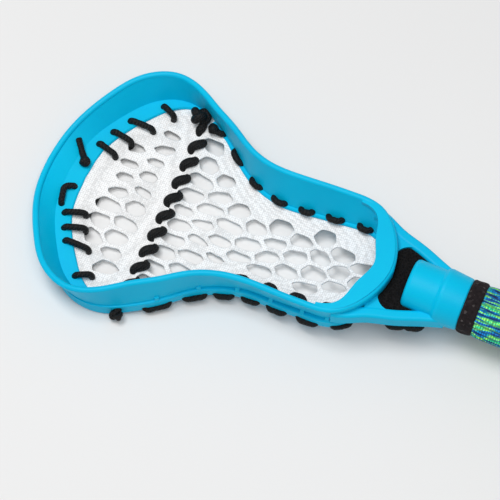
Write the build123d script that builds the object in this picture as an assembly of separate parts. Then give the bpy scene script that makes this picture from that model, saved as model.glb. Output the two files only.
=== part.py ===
from build123d import *
import math
import os

# A lacrosse stick: moulded head with a laced net pocket, tubular shaft, knit grip sleeve, butt cap.
# Millimetres. The origin is the centre of the butt cap's flat end. +X runs along the shaft's axis
# towards the scoop, +Z comes out of the open face of the pocket, and the stick is mirrored in Y.

# Overall sizes
HANDLE = 502.0             # butt end to the rear end of the head's socket
POCKET_LENGTH = 197.0      # throat to scoop, along the foot of the wall
POCKET_WIDTH = 138.0       # widest, between the feet of the side walls

# Head: walls and rails
RIM_THICK = 3.8            # rounded top edge of the wall
LEDGE_THICK = 2.8          # inward ledge that the strings are laced through
LEDGE_NOSE = 0.9           # rounding of the ledge's inner edge
FOOT = 0.6                 # the deep part of the rail starts this far inside the wall's foot
RAIL_ROUND = 1.6           # lower outer edge of the rail
SHELF_ROUND = 0.8          # upper outer edge of the rail
RIB_THICK = 2.4            # gussets across the groove above the rail
RIB_HEIGHT = 3.0
RIB_STATIONS = (7.9, 9.4, 10.75, 11.9, 12.95, 13.8)

# Head: throat and socket
WINDOW = 9.5               # clear gap between the socket's front and the throat wall
SOCKET_DEPTH = 34.0
SOCKET_WALL = 1.78         # round the bore, in the plain part
SOCKET_END = 3.0           # solid wall that the shaft's end stops against
COLLAR_LENGTH = 15.0
COLLAR_STEP = 1.8          # the collar stands this far out of the plain part, at its front
COLLAR_HEM = 0.6           # and at its rear
STRUT_WIDE = 6.4
STRUT_HIGH = 10.0
STRUT_TOP = 1.6            # height of the struts' tops above the shaft's axis
LIP_THICK = 2.4            # ball-stop lip over the throat
# its edge: station, and reach inwards from the rim's inner side
LIP_EDGE = ((13.35, 0.6), (14.2, 4.0), (15.3, 8.6), (17.0, 8.2))

# Net pocket and strings
NET_THICK = 2.2
NET_GAP = 1.0              # edge of the net to the ledge, along the side walls
SCOOP_GAP = 5.0            # and at the scoop, where only stitches cross it
STITCH_BITE = 2.8          # stitches go through the net this far inside its edge
CORD = 3.2                 # laces, diameter
SHOOTER = 4.4              # rolled shooting string, diameter
KNOT = 2.9                 # radius of a lace's knot
SHOOTER_KNOT = 4.0         # and of the shooting string's
# top string: station of the hole in the ledge, station where it bites the net
RIGHT_STITCHES = ((4.5, 5.05), (3.1, 3.6), (2.3, 2.6), (1.45, 1.5))
LEFT_STITCHES = ((1.7, 1.75), (2.4, 2.55), (2.95, 3.45), (4.45, 5.0))
SHOOTER_STATION = 6.72     # where the shooting string crosses
SIDE_CROSSINGS = (7.46, 8.31, 8.85, 9.65, 10.06, 10.6, 10.97, 11.51, 11.85, 12.4, 12.85, 13.5, 13.95, 14.6)
CORD_FREE = 0.35           # clearance all round a lace in its hole
STITCH_ROUND = 2.5         # bends of a lace, on its centre line

# Shaft, grip and ends
SHAFT_OUTER = 12.7         # radius
SHAFT_WALL = 1.5
SHAFT_FREE = 0.12          # shaft in the socket and in the butt cap, radial clearance
LINER = 1.4                # foam under the knit sleeve
SLEEVE = 1.25
LAYER_FREE = 0.05          # between the layers round the shaft
BINDING = 8.0              # length of the upper binding
BINDING_THICK = 2.3
CAP_LENGTH = 30.0
CAP_END = 5.0
CAP_WALL = 2.68
CAP_ROUND = 2.0
CAP_GROOVE = 0.8           # grip grooves round the cap: depth and radius
CAP_GROOVES = (9.0, 14.0, 19.0)
LOWER_BINDING = 12.0
SCREW_RADIUS = 1.9
SCREW_HEAD = 3.4
SCREW_HEAD_THICK = 1.8
SCREW_LENGTH = 9.0
SCREW_FREE = 0.15
SCREW_BACK = 7.5           # screw's distance from the socket's rear end

# The frame's outline, from the middle of the scoop to the middle of the throat.
# along and half width are shares of the pocket's length and half width, on the wall's foot.
# Heights are from the shaft's axis; lean, ledge, rail and groove are widths across the section:
# (along, half width, foot z, lean, rim z, ledge, shelf z, rail, groove, bottom z)
STATIONS = [
    (1.000, 0.000, -27.5, 13.9, -22.0, 10.5, -29.4, 3.6, 0.3, -33.0),
    (0.992, 0.268, -27.5, 13.2, -20.2, 10.3, -29.3, 3.7, 0.3, -33.4),
    (0.970, 0.464, -27.4, 12.5, -17.0, 9.9, -29.0, 3.8, 0.3, -33.9),
    (0.931, 0.667, -27.1, 12.5, -13.8, 9.7, -28.6, 4.0, 0.3, -34.3),
    (0.878, 0.870, -26.8, 12.0, -11.0, 9.5, -28.2, 4.2, 0.3, -34.6),
    (0.810, 0.993, -26.3, 9.0, -8.6, 6.5, -26.8, 4.2, 0.6, -34.5),
    (0.733, 1.000, -25.7, 3.6, -6.0, 2.6, -24.4, 4.6, 0.9, -33.9),
    (0.657, 0.896, -24.9, 1.6, -3.7, 2.1, -22.9, 5.4, 1.2, -31.8),
    (0.591, 0.768, -24.0, 2.6, -2.1, 2.0, -21.6, 5.9, 1.5, -29.7),
    (0.528, 0.606, -23.3, 4.9, -0.8, 2.0, -20.7, 6.5, 1.7, -28.4),
    (0.459, 0.478, -22.4, 7.8, 0.5, 2.0, -19.8, 7.4, 2.0, -27.4),
    (0.363, 0.400, -20.4, 10.7, 2.6, 2.0, -17.8, 8.1, 2.3, -25.6),
    (0.266, 0.407, -17.9, 10.6, 3.8, 2.0, -15.3, 8.1, 2.3, -23.0),
    (0.175, 0.413, -14.9, 10.5, 4.9, 2.0, -12.3, 8.5, 2.5, -19.8),
    (0.094, 0.401, -12.2, 8.6, 6.1, 2.0, -9.6, 8.2, 2.1, -17.0),
    (0.043, 0.312, -11.2, 5.4, 7.0, 2.0, -8.8, 5.4, 0.8, -15.4),
    (0.013, 0.174, -11.0, 4.4, 7.7, 2.0, -8.6, 4.4, 0.4, -14.6),
    (0.000, 0.000, -11.0, 4.4, 8.0, 2.0, -8.6, 4.3, 0.3, -14.4),
]
THROAT = len(STATIONS) - 1

SOCKET_OUTER = SHAFT_OUTER + SHAFT_FREE + SOCKET_WALL
COLLAR_FRONT = SOCKET_OUTER + COLLAR_STEP
COLLAR_REAR = SOCKET_OUTER + COLLAR_HEM
CAP_OUTER = SHAFT_OUTER + SHAFT_FREE + CAP_WALL
SOCKET_FRONT = HANDLE + SOCKET_DEPTH
THROAT_X = SOCKET_FRONT + WINDOW + STATIONS[THROAT][3]
SHAFT_END = SOCKET_FRONT - SOCKET_END - 0.5
HOLE = CORD / 2 + CORD_FREE


def station_row(i):
    """One row of the table; past either end it is the mirrored neighbour."""
    if i < 0:
        row = STATIONS[-i]
        return (row[0], -row[1]) + row[2:]
    if i > THROAT:
        row = STATIONS[2 * THROAT - i]
        return (row[0], -row[1]) + row[2:]
    return STATIONS[i]


def station(s):
    """Smooth values between the rows, at station number s."""
    i = math.floor(s)
    t = s - i
    rows = [station_row(i + k) for k in (-1, 0, 1, 2)]
    values = []
    for a, b, c, d in zip(*rows):
        value = 2 * b + (c - a) * t + (2 * a - 5 * b + 4 * c - d) * t**2 + (3 * b - a - 3 * c + d) * t**3
        values.append(value / 2)
    return values


def foot(s):
    """Foot of the wall in plan."""
    along, half = station(s)[:2]
    return Vector(THROAT_X + along * POCKET_LENGTH, half * POCKET_WIDTH / 2, 0)


def outward(s):
    """Unit vector across the wall, away from the pocket."""
    run = foot(s + 0.05) - foot(s - 0.05)
    return Vector(-run.Y, run.X, 0).normalized() * -1


def frame_point(s, out, z, side=1):
    """Point at station s, 'out' beyond the wall's foot, at height z; side -1 is the -Y half."""
    p = foot(s) + outward(s) * out
    return Vector(p.X, side * p.Y, z)


def frame_section(s):
    """Closed outline across the wall: rail, groove, wall, rounded rim and ledge."""
    foot_z, lean, rim_z, ledge, shelf_z, rail, groove, bottom_z = station(s)[2:]
    shelf_round = min(SHELF_ROUND, 0.6 * groove)

    def p(out, z):
        return frame_point(s, out, z)

    corners = [
        p(-FOOT, bottom_z),
        p(rail - RAIL_ROUND, bottom_z),
        p(rail, bottom_z + RAIL_ROUND),
        p(rail, shelf_z - shelf_round),
        p(rail - shelf_round, shelf_z),
        p(rail - groove, shelf_z),
        p(lean, rim_z - RIM_THICK / 2),
        p(lean - RIM_THICK, rim_z - RIM_THICK / 2),
        p(0, foot_z),
        p(-ledge + LEDGE_NOSE, foot_z),
        p(-ledge + LEDGE_NOSE, foot_z - LEDGE_THICK),
        p(-FOOT, foot_z - LEDGE_THICK),
    ]
    bend = math.sqrt(0.5)
    middles = {
        1: p(rail - RAIL_ROUND * (1 - bend), bottom_z + RAIL_ROUND * (1 - bend)),
        3: p(rail - shelf_round * (1 - bend), shelf_z - shelf_round * (1 - bend)),
        6: p(lean - RIM_THICK / 2, rim_z),
        9: p(-ledge, foot_z - LEDGE_THICK / 2),
    }
    edges = []
    for i, start in enumerate(corners):
        end = corners[(i + 1) % len(corners)]
        if i in middles:
            edges.append(Edge.make_three_point_arc(start, middles[i], end))
        else:
            edges.append(Edge.make_line(start, end))
    return Wire(edges)


def frame_halves():
    """The wall's two halves: one lofted through its sections and cut on the mirror plane, and its twin."""
    sections = [frame_section(s) for s in range(-1, THROAT + 2)]
    half = Solid.make_loft(sections)
    keep = Pos(THROAT_X + POCKET_LENGTH / 2, POCKET_WIDTH, 0) * Box(
        2 * POCKET_LENGTH, 2 * POCKET_WIDTH, 200
    )
    half = (half & keep).solid()
    return [half, mirror(half, Plane.XZ).solid()]


def lip():
    """Flat flange over the throat that stops the ball, its edge following the throat's wall."""
    inner = []
    outer = []
    for s, reach in LIP_EDGE:
        lean, rim_z = station(s)[3:5]
        inner.append(frame_point(s, lean - RIM_THICK - reach, rim_z - 0.5))
        outer.append(frame_point(s, lean - RIM_THICK / 2, rim_z - 0.5))
    first = inner[0]
    last = inner[-1]
    inner += [Vector(p.X, -p.Y, p.Z) for p in reversed(inner[:-1])]
    outer += [Vector(p.X, -p.Y, p.Z) for p in reversed(outer[:-1])]
    low = first.Z - 2 * LIP_THICK
    front = Edge.make_spline([Vector(p.X, p.Y, low) for p in inner])
    back = Edge.make_spline([Vector(p.X, p.Y, low) for p in outer])
    ends = [Edge.make_line(front @ 0, back @ 0), Edge.make_line(front @ 1, back @ 1)]
    block = extrude(Face(Wire([front, back] + ends)), 6 * LIP_THICK, (0, 0, 1))
    # the flange slopes with the rim, a little below its top
    slope = math.degrees(math.atan2(last.Z - first.Z, first.X - last.X))
    middle = (first + last) * 0.5
    slab = Pos(middle.X, 0, middle.Z - LIP_THICK / 2) * Rot(0, slope, 0)
    return block & slab * Box(POCKET_LENGTH, POCKET_WIDTH, LIP_THICK)


def strut(side):
    """Tapered bar from the corner of the throat wall back to the socket's collar."""
    root = frame_point(THROAT - 3.1, 6.0, 0)
    turn = frame_point(THROAT - 2.5, 6.6, 0)
    knee = frame_point(THROAT - 2.0, 8.2, 0)
    heel = Vector(HANDLE + COLLAR_LENGTH + 6, SOCKET_OUTER + STRUT_WIDE / 2 - 1.0, 0)
    end = Vector(HANDLE + COLLAR_LENGTH - 7, SHAFT_OUTER - 0.5, 0)
    middle = knee * 0.48 + heel * 0.52 + Vector(0, 0.5, 0)
    height = STRUT_TOP - STRUT_HIGH / 2
    points = [Vector(p.X, side * p.Y, height) for p in (root, turn, knee, middle, heel, end)]
    route = Edge.make_spline(points)
    sections = []
    for k in range(9):
        t = k / 8
        along = route % t
        plane = Plane(origin=route @ t, x_dir=Vector(0, 0, 1), z_dir=along)
        outline = plane * RectangleRounded(STRUT_HIGH, STRUT_WIDE, 1.8)
        sections.append(outline.wire())
    return Solid.make_loft(sections)


def web(side):
    """Rounded filling of the corner between the throat wall and a strut."""
    knee = frame_point(THROAT - 2.0, 8.2, 0)
    heel = Vector(HANDLE + COLLAR_LENGTH + 6, SOCKET_OUTER + STRUT_WIDE / 2 - 1.0, 0)
    on_wall = frame_point(THROAT - 1.05, station(THROAT - 1.05)[7] - 0.6, 0)
    on_strut = knee * 0.62 + heel * 0.38 - Vector(0, STRUT_WIDE / 2 - 0.8, 0)
    in_wall = frame_point(THROAT - 1.6, 2.0, 0)
    corner = frame_point(THROAT - 1.4, station(THROAT - 1.4)[7] + 1.0, 0)
    hollow = (on_wall + on_strut) * 0.3 + corner * 0.4
    places = [(p.X, side * p.Y) for p in (on_wall, hollow, on_strut, knee, in_wall)]
    curve = ThreePointArc(*places[:3])
    rest = Polyline(places[2], places[3], places[4], places[0])
    plate = extrude(make_face(curve + rest), STRUT_HIGH - 0.8)
    return Pos(0, 0, STRUT_TOP - STRUT_HIGH + 0.4) * plate


def socket():
    """Tube that the shaft fits into, with its stepped collar and the wall that stops the shaft."""
    rear = HANDLE
    step = HANDLE + COLLAR_LENGTH
    with_collar = Polyline(
        (rear, 0),
        (rear, COLLAR_REAR - 0.8),
        (rear + 0.8, COLLAR_REAR),
        (step - 2.0, COLLAR_FRONT),
        (step - 0.6, COLLAR_FRONT - 0.3),
        (step + 1.2, SOCKET_OUTER),
        (SOCKET_FRONT - 2.2, SOCKET_OUTER),
        (SOCKET_FRONT - 0.8, SOCKET_OUTER - 0.6),
        (SOCKET_FRONT, SOCKET_OUTER - 2.0),
        (SOCKET_FRONT, 0),
        close=True,
    )
    return revolve(make_face(with_collar), Axis.X)


def ribs():
    """Small gussets that bridge the groove between rail and wall, on both sides."""
    pieces = []
    for s in RIB_STATIONS:
        shelf_z, rail, groove = station(s)[6:9]
        for side in (1, -1):
            inner = frame_point(s, rail - groove - 1.2, shelf_z - 1, side)
            outer = frame_point(s, rail - 0.4, shelf_z - 1, side)
            across = (outer - inner).normalized()
            plane = Plane(origin=inner, x_dir=across, z_dir=across.cross(Vector(0, 0, 1)))
            reach = (outer - inner).length
            top = RIB_HEIGHT + 1
            outline = Polyline((0, 0), (reach, 0), (reach, 1.2), (2.0, top), (0, top), close=True)
            pieces.append(extrude(plane * make_face(outline), RIB_THICK / 2, both=True))
    return pieces


def bore():
    """Room for the shaft inside the socket."""
    length = SOCKET_DEPTH - SOCKET_END
    return Pos(HANDLE + length / 2 - 1, 0, 0) * Rot(0, 90, 0) * Cylinder(SHAFT_OUTER + SHAFT_FREE, length + 2)


def screw_place():
    """The screw's head sits flush in the collar's underside, at the top of this frame."""
    return Pos(HANDLE + SCREW_BACK, 0, -COLLAR_REAR + 0.4) * Rot(180, 0, 0)


def screw_room(clearance):
    """Space the screw takes, with a clearance all round."""
    shank = Pos(0, 0, -SCREW_LENGTH / 2) * Cylinder(SCREW_RADIUS + clearance, SCREW_LENGTH)
    head = Pos(0, 0, 2 - SCREW_HEAD_THICK - clearance) * Cylinder(SCREW_HEAD + clearance, 4 + 2 * clearance)
    return screw_place() * (shank + head)


def head_screw():
    """Round-headed screw that holds the shaft, with a cross recess."""
    shank = Pos(0, 0, -SCREW_LENGTH / 2) * Cylinder(SCREW_RADIUS, SCREW_LENGTH)
    head = Pos(0, 0, -SCREW_HEAD_THICK / 2) * Cylinder(SCREW_HEAD, SCREW_HEAD_THICK)
    head = fillet(head.edges().group_by(Axis.Z)[-1], 0.7)
    slots = Pos(0, 0, -0.4) * (Box(3.6, 0.8, 1.2) + Box(0.8, 3.6, 1.2))
    return screw_place() * (shank + head - slots)


def lace(points, radius, rounding):
    """A cord along straight runs joined by round bends, with closed flat ends."""
    bends = []
    for a, b, c in zip(points, points[1:], points[2:]):
        turn = (b - a).get_angle(c - b)
        room = 0.45 * min((b - a).length, (c - b).length) / math.tan(math.radians(turn) / 2)
        bends.append(min(rounding, room))
    path = FilletPolyline(*points, radius=bends)
    section = Plane(origin=path @ 0, z_dir=path % 0) * Circle(radius)
    return sweep(section, path=path)


def net_gap(s):
    """From the ledge to the net's edge: wide along the scoop, narrow along the side walls."""
    t = min(1, max(0, (6 - s) / 2))
    return NET_GAP + (SCOOP_GAP - NET_GAP) * t * t * (3 - 2 * t)


def net_reach(s):
    """From the wall's foot to the net's edge."""
    return station(s)[5] + net_gap(s)


def scoop_stitch(s, net_s, side):
    """One stitch: up through the ledge, across to the net and down through it."""
    foot_z, lean, rim_z, ledge = station(s)[2:6]
    under = foot_z - LEDGE_THICK - CORD / 2 - 0.25
    hole = -ledge / 2 - 0.4
    bite = -net_reach(net_s) - STITCH_BITE
    return [
        frame_point(s, hole, under, side),
        frame_point(s, hole, foot_z + CORD / 2 + 0.3, side),
        frame_point(net_s, bite, foot_z + CORD / 2 + 0.3, side),
        frame_point(net_s, bite, under - 0.5, side),
    ]


def top_string_route():
    """Running stitches from one corner of the scoop to the other."""
    points = []
    for s, net_s in RIGHT_STITCHES:
        points += scoop_stitch(s, net_s, -1)
    for s, net_s in LEFT_STITCHES:
        points += reversed(scoop_stitch(s, net_s, 1))
    return points


def scoop_tie_route():
    """Short tie at the middle of the scoop: a tail on the wall, a knot, and a hooked stitch."""
    top = STATIONS[0][2] + CORD / 2
    under = STATIONS[0][2] - LEDGE_THICK - CORD / 2 - 0.25
    return [
        frame_point(1.0, 4.6, top + 3.6, -1),
        frame_point(0.72, -1.0, top + 1.0, -1),
        frame_point(0.45, -6.2, top + 0.5, -1),
        frame_point(0.4, -6.8, under, -1),
        frame_point(0.42, -7.3, under),
        frame_point(0.47, -6.8, top + 0.4),
        frame_point(0.62, -1.6, top + 0.8),
        frame_point(1.2, -2.6, top + 0.3),
        frame_point(1.3, -3.2, under),
    ]


def side_string_route(side):
    """Running stitches through the foot of a side wall: out, along, back in, along."""
    foot_z = station(7.1)[2]
    points = [frame_point(7.12, -4.6, foot_z + CORD / 2 + 0.6, side)]
    for k, s in enumerate(SIDE_CROSSINGS):
        foot_z = station(s)[2]
        rail, groove, bottom_z = station(s)[7:]
        inside = frame_point(s, -2.0, foot_z + CORD / 2 + 0.2, side)
        outside = frame_point(s, rail + 0.5, bottom_z + 0.9, side)
        if k % 2:
            points += [outside, inside]
        else:
            points += [inside, outside]
    foot_z = station(15.2)[2]
    points.append(frame_point(15.2, -3.4, foot_z + CORD / 2 + 0.2, side))
    return points


def bottom_string_route():
    """Laced along the underside of one strut, under the throat wall, through the net, and back."""
    foot_z = station(16.2)[2]
    bottom_z = station(16.2)[9]
    low = STRUT_TOP - STRUT_HIGH - CORD / 2 - 0.5
    rear = HANDLE + COLLAR_LENGTH
    half = [
        Vector(rear + 3.2, SOCKET_OUTER + 1.6, low),
        Vector(rear + 4.5, SOCKET_OUTER + 4.8, low),
        Vector(rear + 11.2, SOCKET_OUTER + 7.0, low),
        Vector(rear + 12.4, SOCKET_OUTER + 3.2, low - 0.4),
        Vector(rear + 13.8, SOCKET_OUTER + 7.9, low),
        Vector(rear + 20.6, SOCKET_OUTER + 10.3, low),
        Vector(rear + 23.5, SOCKET_OUTER + 4.6, low - 1.2),
        frame_point(16.0, 4.5, bottom_z - CORD / 2 - 0.5),
        frame_point(16.1, -net_reach(16.1) - STITCH_BITE, bottom_z - CORD / 2 - 0.9),
        frame_point(16.2, -net_reach(16.2) - STITCH_BITE, foot_z + CORD / 2 + 0.4),
    ]
    return half + [Vector(p.X, -p.Y, p.Z) for p in reversed(half)]


def shooting_string_route():
    """Across the net from wall to wall, its ends through the side walls."""
    s = SHOOTER_STATION
    foot_z = station(s)[2]
    rail, groove, bottom_z = station(s)[7:]
    half = [
        frame_point(s - 0.22, rail + 2.4, bottom_z + 3.2),
        frame_point(s, -3.6, foot_z + SHOOTER / 2 + 0.5),
    ]
    x = half[1].X
    for share in (0.72, 0.4, 0.1):
        y = share * foot(s).Y
        half.append(Vector(x, y, net_height(x, y) + SHOOTER / 2 + 0.5))
    return half + [Vector(p.X, -p.Y, p.Z) for p in reversed(half)]


# The net's sag: along and half width as shares of the pocket's, height at the edges and the middle
NET_ROWS = [
    (1.012, 0.93, -28.0, -28.4),
    (0.937, 0.97, -28.2, -29.4),
    (0.860, 1.00, -28.1, -30.4),
    (0.784, 1.02, -27.6, -31.0),
    (0.708, 1.00, -26.8, -31.0),
    (0.632, 0.90, -25.9, -30.7),
    (0.556, 0.72, -25.0, -30.1),
    (0.480, 0.54, -24.2, -29.3),
    (0.393, 0.44, -22.6, -28.2),
    (0.307, 0.43, -20.6, -26.4),
    (0.216, 0.44, -17.9, -23.4),
    (0.135, 0.44, -15.2, -19.6),
    (0.063, 0.42, -13.4, -16.2),
    (-0.010, 0.38, -12.4, -13.9),
]


def net_height(x, y):
    """Height of the net's upper face."""
    share = (x - THROAT_X) / POCKET_LENGTH
    for near, far in zip(NET_ROWS[1:], NET_ROWS):
        if near[0] <= share <= far[0]:
            t = (share - near[0]) / (far[0] - near[0])
            half, edge, middle = [a + (b - a) * t for a, b in zip(near[1:], far[1:])]
            return middle + (edge - middle) * (y / (half * POCKET_WIDTH / 2)) ** 2
    raise ValueError("outside the net")


def net_pocket():
    """The net as one thin slack sheet, cut to the outline that the strings hold."""
    sections = []
    for along, half, edge, middle in NET_ROWS:
        x = THROAT_X + along * POCKET_LENGTH
        y = half * POCKET_WIDTH / 2
        upper = Edge.make_three_point_arc((x, -y, edge), (x, 0, middle), (x, y, edge))
        lower = Edge.make_three_point_arc(
            (x, y, edge - NET_THICK), (x, 0, middle - NET_THICK), (x, -y, edge - NET_THICK)
        )
        ends = [
            Edge.make_line((x, y, edge), (x, y, edge - NET_THICK)),
            Edge.make_line((x, -y, edge - NET_THICK), (x, -y, edge)),
        ]
        sections.append(Wire([upper, ends[0], lower, ends[1]]))
    sheet = Solid.make_loft(sections)
    outline = [frame_point(s / 2, -net_reach(s / 2), -60) for s in range(2 * THROAT + 1)]
    outline += [Vector(p.X, -p.Y, p.Z) for p in reversed(outline[1:-1])]
    region = extrude(Face(Wire([Edge.make_spline(outline, periodic=True)])), 80, (0, 0, 1))
    return (sheet & region).solid()


def throat_foam(head):
    """Soft block that fills the window between the struts, under the ball-stop lip."""
    low = STRUT_TOP - STRUT_HIGH + 0.6
    high = STRUT_TOP - 0.8
    length = SOCKET_DEPTH - 25 + WINDOW + 16
    block = Pos(HANDLE + 25 + length / 2, 0, (low + high) / 2) * Box(length, 2 * SOCKET_OUTER + 22, high - low)
    pieces = block.solid().cut(head).solids()
    middle = Vector(SOCKET_FRONT + WINDOW / 2, 0, (low + high) / 2)
    return min(pieces, key=lambda piece: piece.distance_to(middle))


def ring_piece(start, end, inner, outer):
    """A plain tube round the shaft's axis."""
    tube = Cylinder(outer, end - start) - Cylinder(inner, end - start)
    return Pos((start + end) / 2, 0, 0) * Rot(0, 90, 0) * tube


def butt_cap():
    """Rubber cap: closed flat end with a rounded edge, and a rounded mouth."""
    body = Pos(CAP_LENGTH / 2, 0, 0) * Rot(0, 90, 0) * Cylinder(CAP_OUTER, CAP_LENGTH)
    ends = body.edges().filter_by(GeomType.CIRCLE).sort_by(Axis.X)
    body = fillet(ends[0], CAP_ROUND)
    mouth = body.edges().filter_by(GeomType.CIRCLE).sort_by(Axis.X)[-1]
    body = fillet(mouth, 0.8)
    depth = CAP_LENGTH - CAP_END
    room = Pos(CAP_END + depth / 2 + 1, 0, 0) * Rot(0, 90, 0) * Cylinder(SHAFT_OUTER + SHAFT_FREE, depth + 2)
    for x in CAP_GROOVES:
        body = body - Pos(x, 0, 0) * Rot(0, 90, 0) * Torus(CAP_OUTER, CAP_GROOVE)
    return body - room


def shooting_knot(side):
    """The big knot inside the wall, where the shooting string's loose end is tied off."""
    s = SHOOTER_STATION - 0.33
    return frame_point(s, -SHOOTER_KNOT - 0.9, station(s)[2] + SHOOTER_KNOT + 0.4, side)


# Strings first: the head and the net are holed where they pass
ROUTES = {
    "top_string": (top_string_route(), CORD),
    "scoop_tie": (scoop_tie_route(), CORD),
    "left_side_string": (side_string_route(1), CORD),
    "right_side_string": (side_string_route(-1), CORD),
    "bottom_string": (bottom_string_route(), CORD),
    "shooting_string": (shooting_string_route(), SHOOTER),
}
KNOTS = {
    "scoop_tie": [scoop_tie_route()[2] + Vector(0, 0, 0.6)],
    "left_side_string": [side_string_route(1)[0] + Vector(0, 0, 1.2)],
    "right_side_string": [side_string_route(-1)[0] + Vector(0, 0, 1.2)],
    "shooting_string": [shooting_knot(-1), shooting_string_route()[0]],
}
strings = {}
rooms = {}
for name, (route, diameter) in ROUTES.items():
    string = lace(route, diameter / 2, STITCH_ROUND).solid()
    ball_radius = SHOOTER_KNOT if name == "shooting_string" else KNOT
    balls = [Pos(place) * Sphere(ball_radius) for place in KNOTS.get(name, [])]
    strings[name] = string.fuse(*[ball.solid() for ball in balls]) if balls else string
    rooms[name] = lace(route, diameter / 2 + CORD_FREE, STITCH_ROUND).solid()

left_half, right_half = frame_halves()
additions = [socket().solid(), lip().solid(), strut(1), strut(-1), web(1).solid(), web(-1).solid()]
additions += [rib.solid() for rib in ribs()]
head = left_half.fuse(right_half, *additions)
foam = throat_foam(head)
through_head = [room for name, room in rooms.items() if name != "bottom_string"]
head = head.cut(bore().solid(), screw_room(SCREW_FREE).solid(), *through_head)
net = net_pocket().cut(rooms["top_string"], rooms["bottom_string"])

shaft = ring_piece(CAP_END + 0.5, SHAFT_END, SHAFT_OUTER - SHAFT_WALL, SHAFT_OUTER)
shaft = shaft - screw_room(SCREW_FREE)
sleeve_start = CAP_LENGTH + LOWER_BINDING + 0.6
sleeve_end = HANDLE - BINDING - 0.6
liner_inner = SHAFT_OUTER + LAYER_FREE
liner_outer = liner_inner + LINER
sleeve_inner = liner_outer + LAYER_FREE

nodes = {
    "head_frame": head,
    "throat_foam": foam,
    "net_pocket": net,
    "shaft_tube": shaft,
    "head_screw": head_screw(),
    "grip_liner": ring_piece(sleeve_start, sleeve_end, liner_inner, liner_outer),
    "grip_sleeve": ring_piece(sleeve_start, sleeve_end, sleeve_inner, sleeve_inner + SLEEVE),
    "upper_binding": ring_piece(HANDLE - BINDING - 0.3, HANDLE - 0.3, liner_inner, liner_inner + BINDING_THICK),
    "lower_binding": ring_piece(
        CAP_LENGTH + 0.3, CAP_LENGTH + LOWER_BINDING + 0.3, liner_inner, liner_inner + BINDING_THICK
    ),
    "butt_cap": butt_cap(),
}
nodes.update(strings)

os.makedirs("parts", exist_ok=True)
for name, shape in nodes.items():
    solids = shape.solids()
    shape = solids[0] if len(solids) == 1 else Compound(solids)
    shape.label = name
    export_step(shape, f"parts/{name}.step")
    print(name, round(shape.volume), "mm3", len(solids), "solid")
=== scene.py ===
# %% [markdown]
# # A laced lacrosse stick
# The CAD model gives every hard piece its true size and place. In Blender we keep those pieces,
# give each one a surface, and build the soft things that CAD can only stand in for: the knitted
# net, the rolled shooting string, the knots, the foam in the throat and the knit grip sleeve.
# Everything is in metres. +X runs along the shaft towards the scoop, +Z comes out of the pocket.

import math

import bpy
import numpy as np
from mathutils import Euler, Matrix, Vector
from mathutils.bvhtree import BVHTree


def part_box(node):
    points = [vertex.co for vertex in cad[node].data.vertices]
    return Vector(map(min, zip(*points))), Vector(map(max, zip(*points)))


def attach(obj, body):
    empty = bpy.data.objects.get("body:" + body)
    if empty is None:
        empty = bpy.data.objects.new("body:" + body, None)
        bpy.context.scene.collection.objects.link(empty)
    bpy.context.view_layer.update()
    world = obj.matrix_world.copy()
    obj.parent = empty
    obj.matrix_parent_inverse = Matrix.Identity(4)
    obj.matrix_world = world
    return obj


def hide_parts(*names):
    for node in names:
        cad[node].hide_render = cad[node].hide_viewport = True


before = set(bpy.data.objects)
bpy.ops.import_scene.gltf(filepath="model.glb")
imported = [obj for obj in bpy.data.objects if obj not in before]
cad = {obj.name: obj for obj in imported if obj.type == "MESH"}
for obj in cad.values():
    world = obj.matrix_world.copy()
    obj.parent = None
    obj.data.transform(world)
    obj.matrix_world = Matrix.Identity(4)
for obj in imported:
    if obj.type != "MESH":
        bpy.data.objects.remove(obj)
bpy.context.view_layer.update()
print("CAD nodes:", sorted(cad))

# %% [markdown]
# ## Camera
# The stick is seen from high up on its left side, close enough to show the head and the first
# part of the grip. A long lens keeps the proportions nearly true, as a product shot does. We
# place the camera with a position and three angles, because that fixes the view exactly.

# %% Place the camera
camera_data = bpy.data.cameras.new("product_camera")
camera_data.lens = 161.9
camera_data.sensor_width = 36.0
camera = bpy.data.objects.new("product_camera", camera_data)
camera.location = (0.4285, 0.5444, 1.1317)
camera.rotation_euler = [math.radians(a) for a in (26.395, -1.405, -156.71)]
bpy.context.scene.collection.objects.link(camera)
bpy.context.scene.camera = camera
print("camera is", round(camera.location.length, 3), "m from the butt cap")

# %% [markdown]
# ## Small helpers
# A few helpers keep the later cells short. They make a material and hand back its shader, add a
# node, wire it up, lay a colour ramp or a bump, turn lists of points and faces into a smooth
# object, and put a material on a CAD piece. A number that is the same all over a surface goes
# straight on the shader's own socket.

# %% Helpers for materials and meshes
def new_material(name, roughness, **sockets):
    material = bpy.data.materials.new(name)
    material.use_nodes = True
    shader = material.node_tree.nodes["Principled BSDF"]
    shader.inputs["Roughness"].default_value = roughness
    for socket, value in sockets.items():
        shader.inputs[socket.replace("_", " ")].default_value = value
    return material, shader


def add_node(material, kind, **inputs):
    node = material.node_tree.nodes.new(kind)
    for name, value in inputs.items():
        node.inputs[name.replace("_", " ")].default_value = value
    return node


def wire(material, output, target):
    material.node_tree.links.new(output, target)


def colour_ramp(material, factor, stops):
    ramp = add_node(material, "ShaderNodeValToRGB")
    while len(ramp.color_ramp.elements) < len(stops):
        ramp.color_ramp.elements.new(0.5)
    for element, (place, colour) in zip(ramp.color_ramp.elements, stops):
        element.position = place
        element.color = (*colour, 1.0)
    wire(material, factor, ramp.inputs["Fac"])
    return ramp.outputs["Color"]


def add_bump(material, shader, height, distance, strength=1.0):
    bump = add_node(material, "ShaderNodeBump", Strength=strength, Distance=distance)
    wire(material, height, bump.inputs["Height"])
    wire(material, bump.outputs["Normal"], shader.inputs["Normal"])


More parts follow.
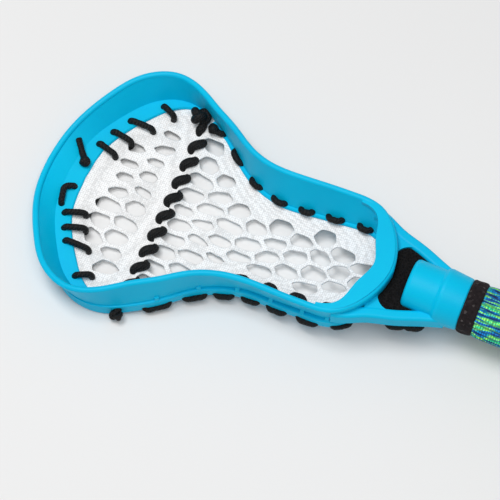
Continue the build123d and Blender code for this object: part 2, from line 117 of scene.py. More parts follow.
def new_piece(name, points, faces, material, body="root"):
    mesh = bpy.data.meshes.new(name)
    mesh.from_pydata([tuple(p) for p in points], [], faces)
    mesh.update()
    piece = bpy.data.objects.new(name, mesh)
    bpy.context.scene.collection.objects.link(piece)
    mesh.materials.append(material)
    mesh.shade_smooth()
    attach(piece, body)
    return piece


def paint(node, material):
    mesh = cad[node].data
    if not mesh.materials:
        mesh.materials.append(material)
    for place in range(len(mesh.materials)):
        mesh.materials[place] = material
    print(node, "is finished with", material.name)


# %% [markdown]
# ## Moulded head
# The head is one piece of coloured nylon. Nylon is not perfectly glossy: it has a soft sheen,
# a trace of light inside it, and a faint grain from the mould. We mix two close blues with a
# slow noise, and add the grain as a very shallow bump, so the big shapes stay clean.

# %% Blue nylon
nylon, nylon_shader = new_material(
    "blue_nylon", 0.42, Subsurface_Weight=0.12, Subsurface_Scale=0.002, Specular_IOR_Level=0.12
)
nylon_shader.inputs["Subsurface Radius"].default_value = (0.2, 0.7, 1.0)
place = add_node(nylon, "ShaderNodeTexCoord")
slow = add_node(nylon, "ShaderNodeTexNoise", Scale=22.0, Detail=3.0, Roughness=0.5)
wire(nylon, place.outputs["Object"], slow.inputs["Vector"])
BLUES = [(0.3, (0.0, 0.47, 0.75)), (0.7, (0.0, 0.53, 0.81))]
blue = colour_ramp(nylon, slow.outputs["Fac"], BLUES)
wire(nylon, blue, nylon_shader.inputs["Base Color"])
grain = add_node(nylon, "ShaderNodeTexNoise", Scale=1500.0, Detail=2.0, Roughness=0.6)
wire(nylon, place.outputs["Object"], grain.inputs["Vector"])
add_bump(nylon, nylon_shader, grain.outputs["Fac"], 0.00004, 0.5)
paint("head_frame", nylon)

# %% [markdown]
# ## Laces
# The laces are round braided nylon cord, almost black. A braid is two sets of strands that
# cross: two wave textures at opposite slants, multiplied, give the small raised cells.

# %% Braided black cord
lace, lace_shader = new_material("black_braid", 0.62, Specular_IOR_Level=0.3)
place = add_node(lace, "ShaderNodeTexCoord")
waves = []
for slant in (0.75, -0.75):
    turn = add_node(lace, "ShaderNodeMapping")
    turn.inputs["Rotation"].default_value = (slant, slant * 0.6, slant)
    wire(lace, place.outputs["Object"], turn.inputs["Vector"])
    wave = add_node(lace, "ShaderNodeTexWave", Scale=260.0, Distortion=1.2, Detail=1.0)
    wire(lace, turn.outputs["Vector"], wave.inputs["Vector"])
    waves.append(wave.outputs["Fac"])
braid = add_node(lace, "ShaderNodeMath")
braid.operation = "MULTIPLY"
wire(lace, waves[0], braid.inputs[0])
wire(lace, waves[1], braid.inputs[1])
# Painted shade: the cord's colour is darker between its raised cells and lighter on top of them.
BLACK_WITH_CREVICE_SHADE = [(0.0, (0.001, 0.001, 0.001)), (1.0, (0.011, 0.010, 0.011))]
black = colour_ramp(lace, braid.outputs["Value"], BLACK_WITH_CREVICE_SHADE)
wire(lace, black, lace_shader.inputs["Base Color"])
add_bump(lace, lace_shader, braid.outputs["Value"], 0.0005, 0.8)
print("made", lace.name)

# %% [markdown]
# ## Soft laces
# The CAD tubes follow each lace's route through the holes, but they are perfectly round. A real
# lace is soft: it swells between its holes and its surface is uneven. So each one is copied,
# remeshed into even small faces, and pushed outwards by a gentle noise.

# %% Copy and soften the laces
WELD_WITHIN = 0.00001
SMOOTHING_PASSES = 3


def soft_copy(name, node, material, voxel, swell, lumps, lump_size):
    source = cad[node].data
    faces = [list(p.vertices) for p in source.polygons]
    piece = new_piece(name, [v.co for v in source.vertices], faces, material)
    weld = piece.modifiers.new("weld", "WELD")
    weld.merge_threshold = WELD_WITHIN
    even = piece.modifiers.new("even_faces", "REMESH")
    even.mode = "VOXEL"
    even.voxel_size = voxel
    soft = piece.modifiers.new("soft_edges", "SMOOTH")
    soft.factor = 0.5
    soft.iterations = SMOOTHING_PASSES
    texture = bpy.data.textures.new(name + "_lumps", "CLOUDS")
    texture.noise_scale = lump_size
    rough = piece.modifiers.new("uneven_surface", "DISPLACE")
    rough.texture = texture
    rough.strength = lumps
    rough.mid_level = 0.5 - swell / lumps
    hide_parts(node)
    return piece


for node in ("top_string", "scoop_tie", "left_side_string", "right_side_string", "bottom_string"):
    soft_lace = soft_copy(
        node + "_lace", node, lace, voxel=0.0006, swell=0.00032, lumps=0.0005, lump_size=0.0024
    )
    print(soft_lace.name, "follows", node)

# %% [markdown]
# ## Net: where it may lie
# The net sags between the strings that hold it. The CAD sheet knows its outline and its sag, so
# we read both from it: its edge points give the outline, and a ray sent straight down finds the
# height at any place. Working from the sheet keeps the net where the strings hold it.

# %% Read the outline and the sag from the CAD sheet
sheet_mesh = cad["net_pocket"].data
sheet_points = np.array([v.co for v in sheet_mesh.vertices])
sheet_tree = BVHTree.FromPolygons(
    [v.co for v in sheet_mesh.vertices], [list(p.vertices) for p in sheet_mesh.polygons]
)
start_x = float(sheet_points[:, 0].min())
end_x = float(sheet_points[:, 0].max())
EDGE_WINDOW = 0.0016
STATIONS = 90
FROM_TIP = 0.02
OUTLINE_STEP = 0.001


def half_width(x):
    near = sheet_points[np.abs(sheet_points[:, 0] - x) < EDGE_WINDOW]
    return float(np.abs(near[:, 1]).max()) if len(near) else 0.0


sweep = np.linspace(FROM_TIP, math.pi - FROM_TIP, STATIONS)
stations = start_x + (end_x - start_x) * (0.5 - 0.5 * np.cos(sweep))
edge = [(float(x), half_width(float(x))) for x in stations]
edge = [(start_x, 0.0)] + edge + [(end_x, 0.0)]
loop = edge + [(x, -y) for x, y in reversed(edge[1:-1])]
outline = []
for (ax, ay), (bx, by) in zip(loop, loop[1:] + loop[:1]):
    spans = max(1, math.ceil(math.hypot(bx - ax, by - ay) / OUTLINE_STEP))
    for k in range(spans):
        outline.append((ax + (bx - ax) * k / spans, ay + (by - ay) * k / spans))
outline = np.array(outline)
print("net outline:", len(outline), "points,", round(end_x - start_x, 4), "m long")

# %% [markdown]
# ## Net: how high it lies
# Two questions come up for every point of the net: how far is it inside the outline, and how
# high is the sheet there? The border reaches a little past the CAD sheet: at the sides it lies
# on the narrow ledge, and at the scoop it runs level into the edge of the wide one. So its
# height blends from the sheet's own to the ledge's. A low ridge carries the shooting string.

# %% Distance to the border, and height
LEDGE_Z = -0.0278
LEDGE_SLOPE = 0.02
LEDGE_X = 0.70
SCOOP_START = 0.690
SCOOP_END = 0.708
BORDER_RISE = 0.0019
MIDDLE_X = 0.66
SHOOTING_X = 0.6835
RIDGE_RISE = 0.0018
RIDGE_WIDTH = 0.007
RAY_FROM_Z = 0.05
NEARBY = (0.0, 0.0025, 0.0040)
SAG_Z = -0.02
READ_INSIDE = 0.0012
INWARD_SHARE = 0.03
BORDER_BLEND = (-0.001, 0.006)
LEVEL_BLEND = (-0.0045, -0.0005)


def to_border(x, y):
    steps = outline - np.array((x, y))
    nearest = int(np.argmin((steps**2).sum(1)))
    distance = float(np.hypot(*steps[nearest]))
    width = float(np.interp(x, [p[0] for p in edge], [p[1] for p in edge]))
    inside = start_x < x < end_x and abs(y) < width
    return (distance if inside else -distance), outline[nearest]


def ease(start, stop, value):
    t = min(1.0, max(0.0, (value - start) / (stop - start)))
    return t * t * (3 - 2 * t)


def sheet_top(x, y):
    """Height of the CAD sheet. Where a lace's hole swallows the ray, a neighbouring spot serves."""
    for step in NEARBY:
        for ax, ay in ((step, 0.0), (0.0, -math.copysign(step, y)), (-step, 0.0)):
            hit = sheet_tree.ray_cast(Vector((x + ax, y + ay, RAY_FROM_Z)), Vector((0, 0, -1)))[0]
            if hit:
                return hit.z
    return sheet_tree.find_nearest(Vector((x, y, SAG_Z)))[0].z


def net_height(x, y):
    """Height of the net. Close to the border the sheet is read a little further in."""
    depth, near = to_border(x, y)
    further_in = near + (np.array((MIDDLE_X, 0.0)) - near) * INWARD_SHARE
    px, py = (x, y) if depth > READ_INSIDE else tuple(further_in)
    z = sheet_top(px, py)
    border = 1 - ease(*BORDER_BLEND, depth)
    scoop = ease(SCOOP_START, SCOOP_END, x)
    z += border * BORDER_RISE * (1 - scoop)
    level = scoop * (1 - ease(*LEVEL_BLEND, depth))
    z += level * (LEDGE_Z - LEDGE_SLOPE * (x - LEDGE_X) - z)
    return z + RIDGE_RISE * math.exp(-(((x - SHOOTING_X) / RIDGE_WIDTH) ** 2)) * (1 - border)


print("net height in the middle:", round(net_height(MIDDLE_X, 0.0), 4), "m")

# %% [markdown]
# ## Net: the knit
# A stick's net is knitted in hexagons, longer along the shaft than across. We lay out a lattice
# of cells. Each cell is a ring of faces between its outer hexagon, shared with the neighbours,
# and a smaller opening. A lattice that is drawn once and repeated costs far less work than
# knitting each cell, and it can still be pulled about: slack shifts every point a little.

# %% One hexagon, and how slack moves it
CELL_LONG = 0.0140
CELL_WIDE = 0.0106
TIP = 0.0090
FLAT = CELL_LONG - TIP
HALF = CELL_WIDE / 2
SIDE_REACH = 0.0038
MORE_AT_SCOOP = 0.0040
CORNERS = [(TIP, 0.0), (FLAT, HALF), (-FLAT, HALF), (-TIP, 0.0), (-FLAT, -HALF), (FLAT, -HALF)]
OUTLINE = []
for (ax, ay), (bx, by) in zip(CORNERS, CORNERS[1:] + CORNERS[:1]):
    for share in (0.12, 0.5, 0.88):
        OUTLINE.append((ax + (bx - ax) * share, ay + (by - ay) * share))


def pull(x, y):
    """Slack shifts the lattice about, the same way at the same place."""
    dx = 0.0012 * math.sin(140 * y + 60 * x) + 0.0007 * math.sin(310 * x - 190 * y)
    dy = 0.0011 * math.sin(120 * x - 80 * y + 1.0) + 0.0006 * math.sin(280 * y + 230 * x)
    return x + dx, y + dy


def into_outline(x, y):
    """A point further out than the net may reach is brought back to that distance."""
    depth, near = to_border(x, y)
    reach = SIDE_REACH + MORE_AT_SCOOP * ease(SCOOP_START, SCOOP_END, x)
    if depth > -reach:
        return x, y
    away = np.array((x, y)) - near
    away = near + away / np.hypot(*away) * reach
    return float(away[0]), float(away[1])


print("one cell of the net is", CELL_LONG, "by", CELL_WIDE, "m from middle to middle")

# %% [markdown]
# ## Net: open and closed cells
# Cells that touch the border, and those rolled into the shooting string, stay closed, as the
# knit bunches up there. Elsewhere a cell is more or less open, as the yarn is drawn. A small
# function that answers for any place keeps this in one spot, apart from the lattice itself.

# %% How open each cell is
CLOSED_BORDER = 0.0062
CLOSED_ROLL = 0.0070
OPEN_LONG = 0.88
OPEN_WIDE = 0.79
LOOSE_PATCH = ((0.712, 0.034), (0.016, 0.018))
TIGHT_PATCH = ((0.655, 0.010), (0.018, 0.018))
DRAWN_FROM_X = (0.694, 0.704)
DRAWN_FROM_Y = (0.012, -0.006)


def patch(x, y, centre, spread):
    """1 at the centre of a patch of the net, falling smoothly to 0 around it."""
    return math.exp(-(((x - centre[0]) / spread[0]) ** 2 + ((y - centre[1]) / spread[1]) ** 2))


def opening(x, y, depth):
    """How open a cell is along and across the stick: 0 closed, 1 with no yarn left."""
    if depth < CLOSED_BORDER or abs(x - SHOOTING_X) < CLOSED_ROLL:
        return 0.0, 0.0
    wave = 0.05 * math.sin(90 * x + 40 * y) * math.sin(130 * y + 2.0)
    loose = patch(x, y, *LOOSE_PATCH)
    tight = patch(x, y, *TIGHT_PATCH)
    drawn = ease(*DRAWN_FROM_X, x) * ease(*DRAWN_FROM_Y, y)
    long_way = OPEN_LONG + wave - 0.22 * drawn
    wide_way = OPEN_WIDE + wave + 0.05 * loose - 0.36 * tight - 0.26 * drawn
    return long_way, wide_way


print("a cell in the middle is open by", [round(v, 2) for v in opening(MIDDLE_X, 0.0, 0.03)])

# %% [markdown]
# ## Net: the faces
# Neighbouring cells share their outer points, so a point is made once and looked up after that.
# Then the whole net is one connected sheet, which Subdivision can round without cracks.

# %% Lay out the lattice
HALF_ROWS = 8
LATTICE_SHIFT = 0.004
FAR_OUTSIDE = -0.014
MERGE_PER_METRE = 4000
net_points = []
net_faces = []
known = {}
open_cells = 0


def net_point(x, y):
    x, y = into_outline(*pull(x, y))
    key = (round(x * MERGE_PER_METRE), round(y * MERGE_PER_METRE))
    if key not in known:
        known[key] = len(net_points)
        ripple = 0.0004 * math.sin(500 * x + 260 * y) * math.sin(330 * y - 120 * x)
        net_points.append((x, y, net_height(x, y) + ripple))
    return known[key]


for column in range(-1, int((end_x - start_x) / CELL_LONG) + 3):
    for row in range(-HALF_ROWS, HALF_ROWS + 1):
        cx = start_x - LATTICE_SHIFT + CELL_LONG * column
        cy = CELL_WIDE * (row + 0.5 * (column % 2))
        depth = to_border(*pull(cx, cy))[0]
        if depth < FAR_OUTSIDE:
            continue
        long_way, wide_way = opening(cx, cy, depth)
        ring = [net_point(cx + a, cy + b) for a, b in OUTLINE]
        inner = [net_point(cx + a * long_way, cy + b * wide_way) for a, b in OUTLINE]
        sides = len(OUTLINE)
        for k, (a, b) in enumerate(CORNERS):
            corner = (ring[(3 * k - 1) % sides], net_point(cx + a, cy + b), ring[3 * k])
            if len(set(corner)) == 3:
                net_faces.append(corner)
        for k in range(sides):
            quad = (ring[k], ring[(k + 1) % sides], inner[(k + 1) % sides], inner[k])
            quad = tuple(dict.fromkeys(quad))
            if len(quad) > 2:
                net_faces.append(quad)
        open_cells += long_way * wide_way > 0
print("net:", open_cells, "open cells,", len(net_faces), "faces before rounding")

# %% [markdown]
# ## Net: the yarn
# The net's surface is white nylon yarn. Its stitches are about a millimetre apart, so a fine
# cell texture paints a little shade into the gaps between them and lifts the loops with a bump.
# Sheen gives the soft edge that knitted cloth has. Subdivision rounds the openings, and
# Solidify gives the yarn its thickness.

# %% White knit and the net piece
knit, knit_shader = new_material(
    "white_knit", 0.8, Sheen_Weight=0.3, Sheen_Roughness=0.5, Specular_IOR_Level=0.2
)
place = add_node(knit, "ShaderNodeTexCoord")
loops = add_node(knit, "ShaderNodeTexVoronoi", Scale=820.0, Randomness=0.35)
wire(knit, place.outputs["Object"], loops.inputs["Vector"])
# Painted shade: the yarn's white turns grey in the gaps between the stitches.
WHITE_WITH_GAP_SHADE = [(0.25, (1.0, 1.0, 1.0)), (0.70, (0.72, 0.72, 0.72))]
white = colour_ramp(knit, loops.outputs["Distance"], WHITE_WITH_GAP_SHADE)
wire(knit, white, knit_shader.inputs["Base Color"])
add_bump(knit, knit_shader, loops.outputs["Distance"], 0.0003, -0.5)

ROUNDING = 2
YARN = 0.0012
net = new_piece("knitted_net", net_points, net_faces, knit)
rounding = net.modifiers.new("round_openings", "SUBSURF")
rounding.levels = ROUNDING
rounding.render_levels = ROUNDING
thick = net.modifiers.new("cord_thickness", "SOLIDIFY")
thick.thickness = YARN
thick.offset = -1.0
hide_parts("net_pocket")

# %% [markdown]
# ## Shooting string
# This lace is rolled round one line of the net from wall to wall, so only slanting humps of it
# show on top. It could be modelled as a mesh tube. A curve with a round bevel does it better,
# because each point of a curve can have its own thickness.

# %% A cord from a curve
def curve_piece(name, points, radius, material, thickness=None, closed=False):
    data = bpy.data.curves.new(name, "CURVE")
    data.dimensions = "3D"
    data.bevel_depth = radius
    data.bevel_resolution = 4
    data.resolution_u = 8
    data.use_fill_caps = True
    spline = data.splines.new("NURBS")
    spline.points.add(len(points) - 1)
    for k, point in enumerate(points):
        spline.points[k].co = (*point, 1.0)
        spline.points[k].radius = thickness[k] if thickness else 1.0
    spline.order_u = 3
    spline.use_cyclic_u = closed
    spline.use_endpoint_u = not closed
    piece = bpy.data.objects.new(name, data)
    bpy.context.scene.collection.objects.link(piece)
    data.materials.append(material)
    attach(piece, "root")
    return piece


# %% [markdown]
# ## Shooting string: the roll
# We draw the string as a flattened spiral round the net: high on the ball side, low and thin
# where it dives under the net. Its height comes from the net's own, so it follows the sag.

# %% Roll the shooting string
SPIRAL_PITCH = 0.0123
SPIRAL_SIDE = 0.0026
FAR_END = -0.0560
NEAR_END = 0.0560
STEPS_PER_TURN = 10
ROLL_X = 0.6842
ROLL_BOW = 0.0012
HUMP_RISE = 0.0014
DIVE_DEPTH = 0.0022
HUMP_SWELL = 0.12
DIVE_THIN = 0.35
CORD_RADIUS = 0.0026
spiral = [(0.6832, 0.0727, -0.0292), (0.6846, 0.0655, -0.0254), (0.6852, 0.0605, -0.0230)]
sizes = [0.9, 0.9, 0.9]
turns = (NEAR_END - FAR_END) / SPIRAL_PITCH
for k in range(int(turns * STEPS_PER_TURN) + 1):
    angle = 2 * math.pi * k / STEPS_PER_TURN
    y = NEAR_END - SPIRAL_PITCH * k / STEPS_PER_TURN
    middle = ROLL_X - ROLL_BOW * math.sin((y + 0.01) * 30)
    top = net_height(middle, y)
    lift = math.sin(angle)
    z = top + (HUMP_RISE * lift if lift > 0 else DIVE_DEPTH * lift)
    spiral.append((middle + SPIRAL_SIDE * math.cos(angle), y, z))
    sizes.append(1.0 + HUMP_SWELL * lift if lift > 0 else 1.0 + DIVE_THIN * lift)
spiral += [(0.6868, -0.0600, -0.0238), (0.6905, -0.0624, -0.0215)]
sizes += [0.95, 0.9]
shooter = curve_piece("shooting_lace", spiral, CORD_RADIUS, lace, sizes)
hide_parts("shooting_string")
print("shooting string makes", round(turns, 1), "turns")

# %% [markdown]
# ## Knots
# A tied knot is the same cord passing over itself, and a trefoil curve is exactly that shape.
# We lay one at the scoop tie and one at the top of each side string. The shooting string has
# two: a large one where its spare length is tied off against the far wall, and a small one
# outside the near wall.

# %% Tie the knots
KNOT_POINTS = 36
KNOT_DEPTH = 1.3


def tie_knot(name, centre, size, cord_radius, tilt):
    points = []
    for k in range(KNOT_POINTS):
        t = 2 * math.pi * k / KNOT_POINTS
        across = math.sin(t) + 2 * math.sin(2 * t)
        along = math.cos(t) - 2 * math.cos(2 * t)
        local = Vector((across, along, -KNOT_DEPTH * math.sin(3 * t)))
        local = local * (size / 3.0)
        local.rotate(tilt)
        points.append(tuple(Vector(centre) + local))
    return curve_piece(name, points, cord_radius, lace, closed=True)


knots = [
    tie_knot("scoop_knot", (0.7404, -0.0081, -0.0248), 0.0023, 0.0014, Euler((0.5, 0.2, 0.3))),
    tie_knot("left_knot", (0.6800, 0.0569, -0.0214), 0.0022, 0.0013, Euler((0.3, 0.4, 1.0))),
    tie_knot("right_knot", (0.6800, -0.0569, -0.0214), 0.0022, 0.0013, Euler((-0.3, 0.4, 0.4))),
    tie_knot("shooting_knot", (0.6905, -0.0615, -0.0212), 0.0046, 0.0025, Euler((0.4, -0.5, 0.9))),
    tie_knot("outer_knot", (0.6832, 0.0727, -0.0292), 0.0026, 0.0017, Euler((1.3, 0.2, 0.2))),
]
print("tied", len(knots), "knots")

# %% [markdown]
# ## Foam in the throat
# A block of black closed-cell foam fills the window between the struts and deadens the shaft's
# end. We copy the CAD block, remesh it into even small faces, smooth it so its edges are soft,
# and push the surface in and out with a fine noise, which is how cut foam looks.

# %% Soften the foam
foam_material, foam_shader = new_material("black_foam", 0.92, Specular_IOR_Level=0.15)
place = add_node(foam_material, "ShaderNodeTexCoord")
pores = add_node(foam_material, "ShaderNodeTexVoronoi", Scale=900.0)
wire(foam_material, place.outputs["Object"], pores.inputs["Vector"])
# Painted shade: the foam is darkest in its small pits and lighter on the ridges between them.
DARK_WITH_PORE_SHADE = [(0.1, (0.001, 0.001, 0.001)), (0.8, (0.010, 0.009, 0.009))]
dark = colour_ramp(foam_material, pores.outputs["Distance"], DARK_WITH_PORE_SHADE)
wire(foam_material, dark, foam_shader.inputs["Base Color"])
add_bump(foam_material, foam_shader, pores.outputs["Distance"], 0.0006)

foam = soft_copy(
    "throat_pad",
    "throat_foam",
    foam_material,
    voxel=0.0009,
    swell=-0.00005,
    lumps=0.0005,
    lump_size=0.0022,
)

# %% [markdown]
# ## Grip sleeve
# The sleeve is a ribbed knit pulled over foam, in streaks of several colours. Its ribs run
# along the shaft, so we build the tube ring by ring and let the radius ripple round it. The UV
# map counts ribs one way and length the other, which lets the material give every rib its own
# run of coloured dashes.

# %% Shape the ribs
sleeve_low, sleeve_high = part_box("grip_sleeve")
FUZZ_ROOM = 0.00035
SLEEVE_RADIUS = sleeve_high.z - FUZZ_ROOM
RIBS = 30
PER_RIB = 8
RINGS = 260
HOLLOW = 0.0009
FULLNESS = 0.0006
RIB_HEIGHT = 0.00045
YARN_FUZZ = 0.00008
around = RIBS * PER_RIB
sleeve_points = []
for i in range(RINGS + 1):
    x = sleeve_low.x + (sleeve_high.x - sleeve_low.x) * i / RINGS
    ends = min(1.0, 0.35 + min(i, RINGS - i) / 3)
    for j in range(around):
        angle = 2 * math.pi * j / around
        wobble = 0.4 * math.sin(x * 180 + 3 * math.sin(angle * 2))
        rib = math.cos(RIBS * angle + wobble)
        radius = SLEEVE_RADIUS - HOLLOW + ends * (FULLNESS + RIB_HEIGHT * rib)
        radius += YARN_FUZZ * math.sin(x * 900 + j)
        sleeve_points.append((x, radius * math.cos(angle), radius * math.sin(angle)))
sleeve_faces = []
for i in range(RINGS):
    for j in range(around):
        k = (j + 1) % around
        sleeve_faces.append((i * around + j, (i + 1) * around + j, (i + 1) * around + k, i * around + k))
print("sleeve:", RIBS, "ribs over", round(sleeve_high.x - sleeve_low.x, 3), "m")

# %% [markdown]
# ## Sleeve: the streaked knit
# The sleeve is knitted from yarns of several colours, so each rib shows dashes that begin and
# end on their own. An even stripe would look printed. We stretch a noise on the UV map, short
# across the ribs and long along them, and send it through a ramp of yarn colours. A cell
# texture on the same map gives the single stitches as a bump, and paints a highlight on each
# stitch and shade between them.

# %% Streaked knit
streak, streak_shader = new_material("streaked_knit", 0.75, Specular_IOR_Level=0.3)
uv = add_node(streak, "ShaderNodeUVMap")
uv.uv_map = "weave"
stretch = add_node(streak, "ShaderNodeMapping")
stretch.inputs["Scale"].default_value = (1.6, 26.0, 1.0)
wire(streak, uv.outputs["UV"], stretch.inputs["Vector"])
dashes = add_node(streak, "ShaderNodeTexNoise", Scale=1.0, Detail=2.0, Roughness=0.55)
dashes.noise_dimensions = "2D"
wire(streak, stretch.outputs["Vector"], dashes.inputs["Vector"])
streaks = colour_ramp(
    streak,
    dashes.outputs["Fac"],
    [
        (0.34, (0.004, 0.030, 0.110)),
        (0.42, (0.004, 0.110, 0.430)),
        (0.49, (0.000, 0.200, 0.520)),
        (0.53, (0.000, 0.360, 0.300)),
        (0.59, (0.300, 0.750, 0.070)),
        (0.68, (0.020, 0.500, 0.260)),
    ],
)
stitch_map = add_node(streak, "ShaderNodeMapping")
stitch_map.inputs["Scale"].default_value = (1.0, 330.0, 1.0)
wire(streak, uv.outputs["UV"], stitch_map.inputs["Vector"])
stitches = add_node(streak, "ShaderNodeTexVoronoi", Scale=1.0, Randomness=0.45)
stitches.voronoi_dimensions = "2D"
wire(streak, stitch_map.outputs["Vector"], stitches.inputs["Vector"])
# Painted highlight on each raised stitch (above 1, so it brightens the yarn) and painted shade in the
# gaps between stitches.
STITCH_HIGHLIGHT_AND_SHADE = [(0.08, (2.2, 2.2, 1.8)), (0.30, (1.0, 1.0, 1.0)), (0.60, (0.65, 0.65, 0.65))]
stitch_highlight_and_shade = colour_ramp(streak, stitches.outputs["Distance"], STITCH_HIGHLIGHT_AND_SHADE)
mixed = add_node(streak, "ShaderNodeMix")
mixed.data_type = "RGBA"
mixed.blend_type = "MULTIPLY"
mixed.inputs[0].default_value = 1.0
wire(streak, streaks, mixed.inputs[6])
wire(streak, stitch_highlight_and_shade, mixed.inputs[7])
wire(streak, mixed.outputs[2], streak_shader.inputs["Base Color"])
add_bump(streak, streak_shader, stitches.outputs["Distance"], 0.0005, -0.8)

sleeve = new_piece("knit_sleeve", sleeve_points, sleeve_faces, streak)
weave = sleeve.data.uv_layers.new(name="weave")
for face in sleeve.data.polygons:
    i, j = divmod(face.index, around)
    corners = ((i, j), (i + 1, j), (i + 1, j + 1), (i, j + 1))
    for loop, (a, b) in zip(face.loop_indices, corners):
        weave.data[loop].uv = (b / PER_RIB, a / RINGS)
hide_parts("grip_sleeve")

# %% [markdown]
# ## Bindings
# Woven tape is wrapped round both ends of the sleeve. It has rolled edges, a slightly uneven
# surface and a row of small stitches. A fine wave texture as a bump reads as twill. The stitches
# could be modelled one by one. Here a scatter of lighter threads only suggests them.

# %% Woven tape
tape, tape_shader = new_material("woven_tape", 0.85, Specular_IOR_Level=0.25)
place = add_node(tape, "ShaderNodeTexCoord")
threads = add_node(tape, "ShaderNodeTexVoronoi", Scale=700.0)
wire(tape, place.outputs["Object"], threads.inputs["Vector"])
BROWNS = [(0.0, (0.006, 0.004, 0.005)), (0.80, (0.020, 0.014, 0.016)), (0.985, (0.10, 0.09, 0.09))]
brown = colour_ramp(tape, threads.outputs["Color"], BROWNS)
wire(tape, brown, tape_shader.inputs["Base Color"])
twill = add_node(tape, "ShaderNodeTexWave", Scale=420.0, Distortion=0.6)
wire(tape, place.outputs["Object"], twill.inputs["Vector"])
add_bump(tape, tape_shader, twill.outputs["Fac"], 0.0004, 0.8)
print("made", tape.name)

# %% [markdown]
# ## Bindings: the bands
# Each band is a ring of points swept across its width. A steep power keeps the middle flat and
# rolls the edges over, and two sine waves round the band keep it from looking turned on a lathe.

# %% Wrap the bindings
TAPE_INNER = 0.0128
TAPE_ROOM = 0.0003
TAPE_THICKNESS = 0.0008
WAVINESS = 0.00018
CRINKLE = 0.00010
ROUND = 144
ACROSS = 24


def wrap_band(name, node):
    low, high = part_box(node)
    length = high.x - low.x
    points = []
    for step in range(ACROSS + 1):
        t = step / ACROSS
        x = low.x + length * t
        crown = (1 - (2 * t - 1) ** 8) ** 0.5
        radius = TAPE_INNER + (high.z - TAPE_ROOM - TAPE_INNER) * (0.5 + 0.5 * crown)
        for j in range(ROUND):
            angle = 2 * math.pi * j / ROUND
            r = radius + WAVINESS * math.sin(angle * 5 + x * 700) + CRINKLE * math.sin(angle * 17)
            points.append((x, r * math.cos(angle), r * math.sin(angle)))
    faces = []
    for i in range(ACROSS):
        for j in range(ROUND):
            k = (j + 1) % ROUND
            faces.append((i * ROUND + j, (i + 1) * ROUND + j, (i + 1) * ROUND + k, i * ROUND + k))
    band = new_piece(name, points, faces, tape)
    lining = band.modifiers.new("lining", "SOLIDIFY")
    lining.thickness = TAPE_THICKNESS
    lining.offset = -1.0
    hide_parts(node)
    print(name, "is", round(length * 1000, 1), "mm wide")


wrap_band("upper_tape", "upper_binding")
wrap_band("lower_tape", "lower_binding")

# %% [markdown]
# ## Rubber and liner
# The last CAD pieces need only their finishes. The butt cap is matte rubber, and a noise makes
# it a little dusty. The liner is dark foam inside the sleeve, so it shares the throat's foam.

# %% Finish the cap and the liner
rubber, rubber_shader = new_material("black_rubber", 0.7)
place = add_node(rubber, "ShaderNodeTexCoord")
dust = add_node(rubber, "ShaderNodeTexNoise", Scale=260.0, Detail=4.0)
wire(rubber, place.outputs["Object"], dust.inputs["Vector"])
DUSTY = [(0.35, (0.012, 0.012, 0.013)), (0.7, (0.03, 0.03, 0.03))]
dusty = colour_ramp(rubber, dust.outputs["Fac"], DUSTY)
wire(rubber, dusty, rubber_shader.inputs["Base Color"])
add_bump(rubber, rubber_shader, dust.outputs["Fac"], 0.0002, 0.5)
paint("butt_cap", rubber)
paint("grip_liner", foam_material)

# %% [markdown]
# ## Brushed metal
# Brushed metal has fine lines that all run one way. Noise stretched along the shaft gives those
# lines to both colour and bump. The small screw gets the same noise unstretched, as plain grain.

# %% Shaft and screw
LIGHTER = 1.15


def brushed(name, colour, stretch_by):
    metal, metal_shader = new_material(name, 0.35, Metallic=1.0)
    place = add_node(metal, "ShaderNodeTexCoord")
    along = add_node(metal, "ShaderNodeMapping")
    along.inputs["Scale"].default_value = stretch_by
    wire(metal, place.outputs["Object"], along.inputs["Vector"])
    lines = add_node(metal, "ShaderNodeTexNoise", Scale=1.0, Detail=3.0)
    wire(metal, along.outputs["Vector"], lines.inputs["Vector"])
    light = tuple(min(1.0, c * LIGHTER) for c in colour)
    shades = colour_ramp(metal, lines.outputs["Fac"], [(0.3, colour), (0.7, light)])
    wire(metal, shades, metal_shader.inputs["Base Color"])
    add_bump(metal, metal_shader, lines.outputs["Fac"], 0.00003, 0.4)
    return metal


paint("shaft_tube", brushed("brushed_alloy", (0.52, 0.53, 0.55), (30.0, 1400.0, 1400.0)))
paint("head_screw", brushed("plain_steel", (0.40, 0.40, 0.41), (900.0, 900.0, 900.0)))

# %% [markdown]
# ## Floor
# The stick rests on its head and on its butt cap, so the floor tilts a little in the shaft's
# frame. We find that slope from the CAD: the steepest line from the cap's underside to any
# point of the head. The floor itself is a plain pale sheet, which is no part of the stick.

# %% Find the floor
head_points = np.array([v.co for v in cad["head_frame"].data.vertices])
cap_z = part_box("butt_cap")[0].z
CAP_X = 0.004
FLOOR_GAP = 0.0001
FLOOR_REACH = 6.0
slope = float(((cap_z - head_points[:, 2]) / (head_points[:, 0] - CAP_X)).max())
print("floor slope under the shaft:", round(math.degrees(math.atan(slope)), 2), "degrees")


def floor_z(x):
    return cap_z - slope * (x - CAP_X) - FLOOR_GAP


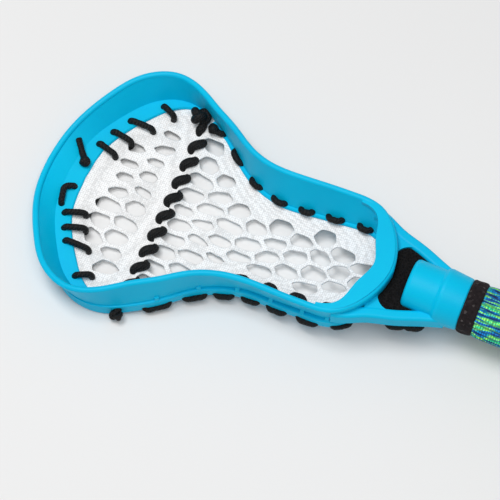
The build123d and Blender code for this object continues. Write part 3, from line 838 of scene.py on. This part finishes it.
floor_corners = [(-1, -1), (1, -1), (1, 1), (-1, 1)]
floor_points = [(a * FLOOR_REACH, b * FLOOR_REACH, floor_z(a * FLOOR_REACH)) for a, b in floor_corners]
paper, paper_shader = new_material("pale_paper", 0.9)
place = add_node(paper, "ShaderNodeTexCoord")
fibre = add_node(paper, "ShaderNodeTexNoise", Scale=3.0, Detail=2.0)
wire(paper, place.outputs["Object"], fibre.inputs["Vector"])
PALES = [(0.3, (0.80, 0.80, 0.80)), (0.7, (0.82, 0.82, 0.82))]
pale = colour_ramp(paper, fibre.outputs["Fac"], PALES)
wire(paper, pale, paper_shader.inputs["Base Color"])
floor_mesh = bpy.data.meshes.new("studio_floor")
floor_mesh.from_pydata(floor_points, [], [(0, 1, 2, 3)])
floor_mesh.materials.append(paper)
floor = bpy.data.objects.new("studio_floor", floor_mesh)
bpy.context.scene.collection.objects.link(floor)

# %% [markdown]
# ## Light
# White net beside black cord needs soft-edged shadows, and large lamps give them. We hang one
# large round lamp high beyond the scoop and a second one overhead on the camera's side, and
# fill the shadows with a pale world.

# %% Light the scene
AIM = (0.62, 0.0, 0.0)
FILL = 0.36


def soft_lamp(name, place, aim, size, power):
    data = bpy.data.lights.new(name, "AREA")
    data.shape = "DISK"
    data.size = size
    data.energy = power
    lamp = bpy.data.objects.new(name, data)
    lamp.location = place
    lamp.rotation_euler = (Vector(aim) - Vector(place)).to_track_quat("-Z", "Y").to_euler()
    bpy.context.scene.collection.objects.link(lamp)


soft_lamp("key", place=(1.15, 0.05, 1.60), aim=AIM, size=0.7, power=13.3)
soft_lamp("overhead", place=(0.45, 0.45, 1.60), aim=AIM, size=0.9, power=8.8)
world = bpy.data.worlds.new("pale_studio")
world.use_nodes = True
world.node_tree.nodes["Background"].inputs["Color"].default_value = (1.0, 1.0, 1.0, 1.0)
world.node_tree.nodes["Background"].inputs["Strength"].default_value = FILL
bpy.context.scene.world = world
bpy.context.scene.view_settings.view_transform = "Standard"
print("lamps and world are set")
